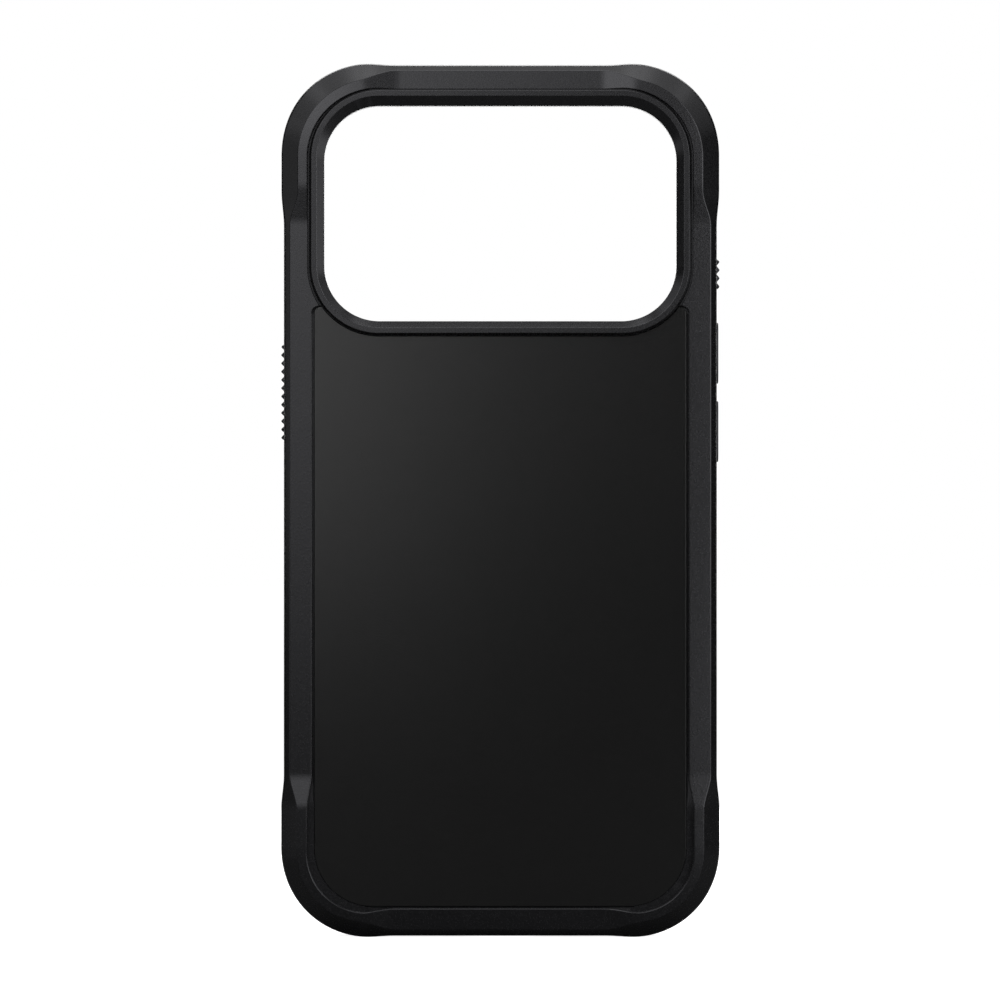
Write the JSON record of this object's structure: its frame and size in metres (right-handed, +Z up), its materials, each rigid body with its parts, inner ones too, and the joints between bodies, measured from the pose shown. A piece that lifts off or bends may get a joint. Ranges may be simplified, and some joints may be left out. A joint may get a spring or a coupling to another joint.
{
  "type": "phone case",
  "caption": "Rugged phone case: a rubber bumper with raised corners round a hard tray, with a recessed back panel, a raised camera ring, a magnet ring and push buttons.",
  "frame": {"origin": "centre of the bay that the phone fills", "axes": "+Z runs up along the case's long side, towards the camera ring; the open front faces +Y and the back faces -Y; +X is to the right as seen from behind"},
  "size_m": [0.0786, 0.0155, 0.1568],
  "materials": {
    "bumper_rubber": "fine satin moulded rubber, nearly black",
    "tray_plastic": "matt moulded plastic, black",
    "panel_soft_touch": "soft-touch matt coating, black",
    "ring_plastic": "satin moulded plastic, black, with crisp edges",
    "lining_fibre": "short soft fibre, dark grey",
    "adhesive": "thin acrylic adhesive sheet",
    "clear_film": "thin milky film",
    "magnet_metal": "bright nickel plating",
    "button_metal": "fine bead-blasted, black anodised",
    "plunger_rubber": "plain moulded rubber, black"
  },
  "bodies": {
    "case": {"bumper_frame": "bumper_rubber", "hard_tray": "tray_plastic", "back_panel": "panel_soft_touch", "panel_adhesive": "adhesive", "camera_ring": "ring_plastic", "ring_adhesive": "adhesive", "lining": "lining_fibre", "lining_adhesive": "adhesive", "magnet_ring": "magnet_metal", "magnet_film": "clear_film", "alignment_magnet": "magnet_metal", "alignment_film": "clear_film"},
    "side_button": {"side_button_cap": "button_metal", "side_button_plunger": "plunger_rubber"},
    "action_button": {"action_button_cap": "button_metal", "action_button_plunger": "plunger_rubber"},
    "volume_up_button": {"volume_up_cap": "button_metal", "volume_up_plunger": "plunger_rubber"},
    "volume_down_button": {"volume_down_cap": "button_metal", "volume_down_plunger": "plunger_rubber"}
  },
  "joints": [
    {"name": "side_button_press", "type": "slide", "parent": "case", "child": "side_button", "axis": [1, 0, 0], "range_m": [0, 0.00035], "stiffness_N_per_m": 1500},
    {"name": "action_button_press", "type": "slide", "parent": "case", "child": "action_button", "axis": [-1, 0, 0], "range_m": [0, 0.00035], "stiffness_N_per_m": 1500},
    {"name": "volume_up_button_press", "type": "slide", "parent": "case", "child": "volume_up_button", "axis": [-1, 0, 0], "range_m": [0, 0.00035], "stiffness_N_per_m": 1500},
    {"name": "volume_down_button_press", "type": "slide", "parent": "case", "child": "volume_down_button", "axis": [-1, 0, 0], "range_m": [0, 0.00035], "stiffness_N_per_m": 1500}
  ]
}
